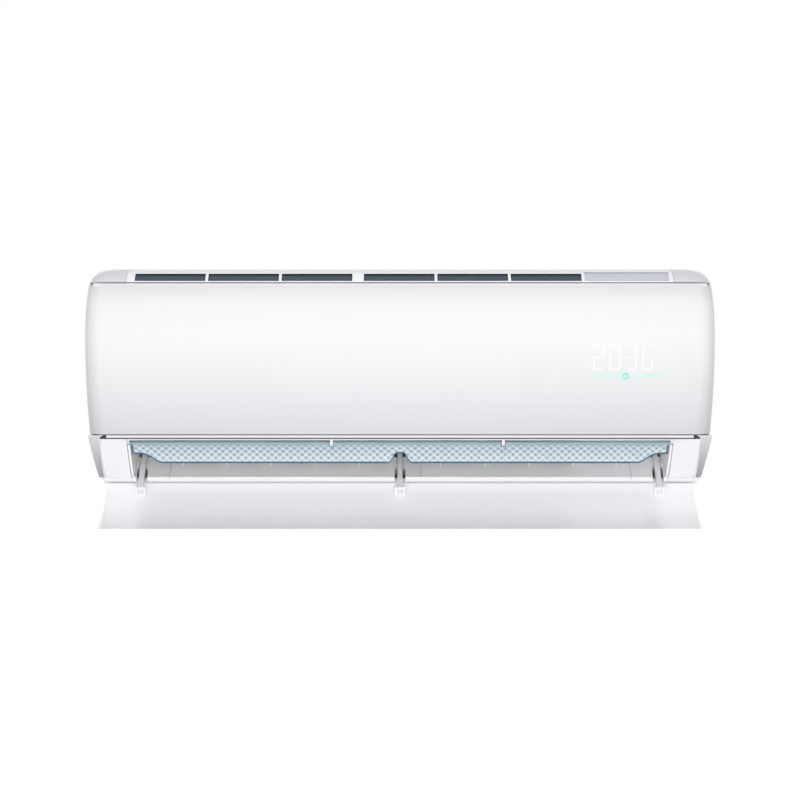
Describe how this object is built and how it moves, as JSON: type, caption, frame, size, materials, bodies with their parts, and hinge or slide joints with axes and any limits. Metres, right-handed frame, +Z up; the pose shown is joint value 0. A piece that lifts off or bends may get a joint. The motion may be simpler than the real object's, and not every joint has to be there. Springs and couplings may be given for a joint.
{
  "type": "mini split indoor unit",
  "caption": "Wall-mounted mini split indoor unit: bulged white front panel, top intake, outlet flap opened on rack arms, dimpled inner vane, louvers, cross-flow fan, coil and wall plate.",
  "frame": {"origin": "on the wall, in the middle of the wall plate's back face", "axes": "+X to the right as seen from the room, +Y into the wall, +Z up"},
  "size_m": [0.8634, 0.2056, 0.3602],
  "materials": {
    "steel": "galvanised, dull",
    "soft_white": "fine satin",
    "gloss_white": "gloss",
    "silver_trim": "satin silver coating",
    "fin_aluminium": "fins",
    "fan_grey": "satin",
    "dark_plastic": "satin",
    "clear_blue": "gloss, tinted, with a dimpled face",
    "filter_mesh": "fine mesh",
    "board_green": "laminate",
    "copper": "drawn copper tube",
    "brass": "machined"
  },
  "bodies": {
    "body": {"wall_plate": "steel", "tube_plate_left": "steel", "tube_plate_right": "steel", "control_box_cover": "steel", "vane_motor": "steel", "flap_motor": "steel", "louver_motor_left": "steel", "louver_motor_right": "steel", "chassis": "soft_white", "drain_pan": "soft_white", "motor_bracket": "soft_white", "front_frame": "soft_white", "control_box": "soft_white", "pipe_clip": "soft_white", "intake_grille": "gloss_white", "side_cover_left": "gloss_white", "side_cover_right": "gloss_white", "trim_left": "silver_trim", "trim_right": "silver_trim", "chrome_strip": "silver_trim", "coil_front": "fin_aluminium", "coil_upper": "fin_aluminium", "coil_rear": "fin_aluminium", "fan_motor": "dark_plastic", "fan_bearing": "dark_plastic", "terminal_block": "dark_plastic", "drain_spigot": "dark_plastic", "drain_plug": "dark_plastic", "filter_left": "filter_mesh", "filter_right": "filter_mesh", "circuit_board": "board_green", "display_board": "board_green", "gas_pipe": "copper", "liquid_pipe": "copper", "gas_flare_nut": "brass", "liquid_flare_nut": "brass"},
    "panel": {"front_panel": "gloss_white"},
    "arms": {"arm_left": "gloss_white", "arm_centre": "gloss_white", "arm_right": "gloss_white"},
    "flap": {"outlet_flap": "gloss_white"},
    "drive": {"drive_shaft": "steel"},
    "vane": {"inner_vane": "clear_blue"},
    "fan": {"cross_flow_fan": "fan_grey", "motor_shaft": "steel"},
    "link_left": {"link_bar_left": "soft_white"},
    "link_right": {"link_bar_right": "soft_white"},
    "louver_left_1": {"louver_left_1": "soft_white"},
    "louver_left_2": {"louver_left_2": "soft_white"},
    "louver_left_3": {"louver_left_3": "soft_white"},
    "louver_left_4": {"louver_left_4": "soft_white"},
    "louver_left_5": {"louver_left_5": "soft_white"},
    "louver_right_1": {"louver_right_1": "soft_white"},
    "louver_right_2": {"louver_right_2": "soft_white"},
    "louver_right_3": {"louver_right_3": "soft_white"},
    "louver_right_4": {"louver_right_4": "soft_white"},
    "louver_right_5": {"louver_right_5": "soft_white"}
  },
  "joints": [
    {"name": "panel_hinge", "type": "hinge", "parent": "body", "child": "panel", "pos_m": [0, -0.1842, 0.1246], "axis": [-1, 0, 0], "range_deg": [0, 60]},
    {"name": "arm_slide", "type": "slide", "parent": "body", "child": "arms", "axis": [0, 0.7524, 0.6587], "range_m": [0, 0.02126]},
    {"name": "flap_tilt", "type": "hinge", "parent": "arms", "child": "flap", "pos_m": [0, -0.137, -0.1555], "axis": [-1, 0, 0], "range_deg": [0, 77.4]},
    {"name": "drive_shaft_turn", "type": "hinge", "parent": "body", "child": "drive", "pos_m": [0, -0.09197, -0.13103], "axis": [-1, 0, 0], "range_deg": [0, 196]},
    {"name": "vane_tilt", "type": "hinge", "parent": "body", "child": "vane", "pos_m": [0, -0.175, -0.092], "axis": [1, 0, 0], "range_deg": [-40, 50]},
    {"name": "fan_spin", "type": "hinge", "parent": "body", "child": "fan", "pos_m": [0, -0.096, -0.03], "axis": [1, 0, 0], "continuous": true},
    {"name": "louver_left_1_turn", "type": "hinge", "parent": "body", "child": "louver_left_1", "pos_m": [-0.305, -0.09677, -0.1163], "axis": [0, -0.6625, 0.7491], "range_deg": [-30, 30]},
    {"name": "louver_left_2_turn", "type": "hinge", "parent": "body", "child": "louver_left_2", "pos_m": [-0.243, -0.09677, -0.1163], "axis": [0, -0.6625, 0.7491], "range_deg": [-30, 30]},
    {"name": "louver_left_3_turn", "type": "hinge", "parent": "body", "child": "louver_left_3", "pos_m": [-0.181, -0.09677, -0.1163], "axis": [0, -0.6625, 0.7491], "range_deg": [-30, 30]},
    {"name": "louver_left_4_turn", "type": "hinge", "parent": "body", "child": "louver_left_4", "pos_m": [-0.119, -0.09677, -0.1163], "axis": [0, -0.6625, 0.7491], "range_deg": [-30, 30]},
    {"name": "louver_left_5_turn", "type": "hinge", "parent": "body", "child": "louver_left_5", "pos_m": [-0.057, -0.09677, -0.1163], "axis": [0, -0.6625, 0.7491], "range_deg": [-30, 30]},
    {"name": "louver_right_1_turn", "type": "hinge", "parent": "body", "child": "louver_right_1", "pos_m": [0.057, -0.09677, -0.1163], "axis": [0, -0.6625, 0.7491], "range_deg": [-30, 30]},
    {"name": "louver_right_2_turn", "type": "hinge", "parent": "body", "child": "louver_right_2", "pos_m": [0.119, -0.09677, -0.1163], "axis": [0, -0.6625, 0.7491], "range_deg": [-30, 30]},
    {"name": "louver_right_3_turn", "type": "hinge", "parent": "body", "child": "louver_right_3", "pos_m": [0.181, -0.09677, -0.1163], "axis": [0, -0.6625, 0.7491], "range_deg": [-30, 30]},
    {"name": "louver_right_4_turn", "type": "hinge", "parent": "body", "child": "louver_right_4", "pos_m": [0.243, -0.09677, -0.1163], "axis": [0, -0.6625, 0.7491], "range_deg": [-30, 30]},
    {"name": "louver_right_5_turn", "type": "hinge", "parent": "body", "child": "louver_right_5", "pos_m": [0.305, -0.09677, -0.1163], "axis": [0, -0.6625, 0.7491], "range_deg": [-30, 30]},
    {"name": "link_bar_left_slide", "type": "slide", "parent": "body", "child": "link_left", "axis": [1, 0, 0], "range_m": [-0.00515, 0.00515]},
    {"name": "link_bar_right_slide", "type": "slide", "parent": "body", "child": "link_right", "axis": [1, 0, 0], "range_m": [-0.00515, 0.00515]}
  ],
  "couplings": [
    {"joint": "flap_tilt", "follows": "arm_slide", "rad_per_m": 63.541},
    {"joint": "drive_shaft_turn", "follows": "arm_slide", "rad_per_m": 160},
    {"joint": "louver_left_1_turn", "follows": "link_bar_left_slide", "rad_per_m": -101.5},
    {"joint": "louver_left_2_turn", "follows": "link_bar_left_slide", "rad_per_m": -101.5},
    {"joint": "louver_left_3_turn", "follows": "link_bar_left_slide", "rad_per_m": -101.5},
    {"joint": "louver_left_4_turn", "follows": "link_bar_left_slide", "rad_per_m": -101.5},
    {"joint": "louver_left_5_turn", "follows": "link_bar_left_slide", "rad_per_m": -101.5},
    {"joint": "louver_right_1_turn", "follows": "link_bar_right_slide", "rad_per_m": -101.5},
    {"joint": "louver_right_2_turn", "follows": "link_bar_right_slide", "rad_per_m": -101.5},
    {"joint": "louver_right_3_turn", "follows": "link_bar_right_slide", "rad_per_m": -101.5},
    {"joint": "louver_right_4_turn", "follows": "link_bar_right_slide", "rad_per_m": -101.5},
    {"joint": "louver_right_5_turn", "follows": "link_bar_right_slide", "rad_per_m": -101.5}
  ]
}
